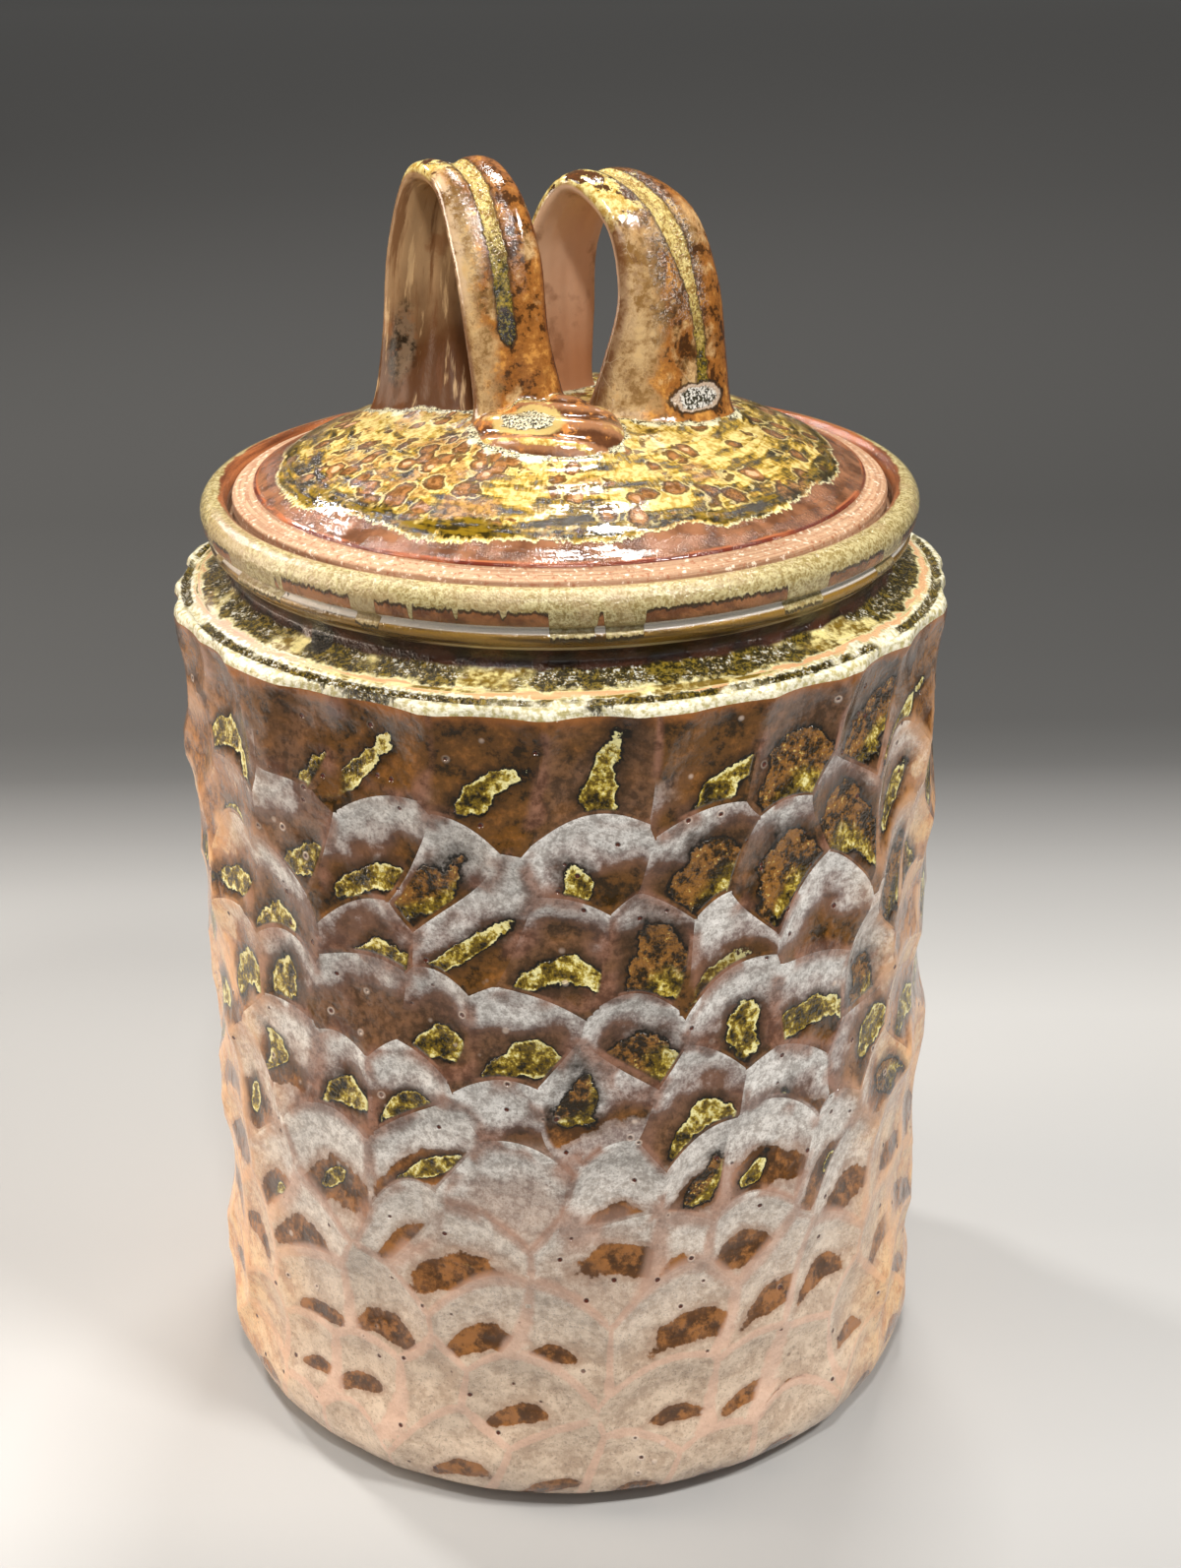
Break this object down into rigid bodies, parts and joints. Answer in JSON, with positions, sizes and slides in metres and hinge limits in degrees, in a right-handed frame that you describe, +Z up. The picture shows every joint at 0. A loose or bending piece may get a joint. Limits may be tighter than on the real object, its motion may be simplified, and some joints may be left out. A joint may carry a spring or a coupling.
{
  "type": "lidded pottery jar",
  "caption": "Cylindrical stoneware storage jar with a scooped, glazed wall, a rolled rim, a drop-in domed lid and pulled strap handles on the lid.",
  "frame": {"origin": "on the table under the jar's axis", "axes": "+Z up along the jar's axis, -Y toward the pictured side, +X to the right in the picture"},
  "size_m": [0.152, 0.153, 0.2522],
  "materials": {
    "body_glaze": "glossy iron-brown glaze with olive and cream pools",
    "lid_glaze": "glossy mottled ash-yellow glaze with brown breaks",
    "handle_glaze": "glossy amber-brown glaze with a yellow run in the groove",
    "bare_clay": "matt unglazed stoneware"
  },
  "bodies": {
    "jar": {"jar_body": "body_glaze"},
    "lid": {"lid": "lid_glaze", "left_strap_handle": "handle_glaze", "right_strap_handle": "handle_glaze"}
  },
  "joints": [
    {"name": "lid_lift", "type": "slide", "parent": "jar", "child": "lid", "axis": [0, 0, 1], "range_m": [0, 0.12]}
  ]
}
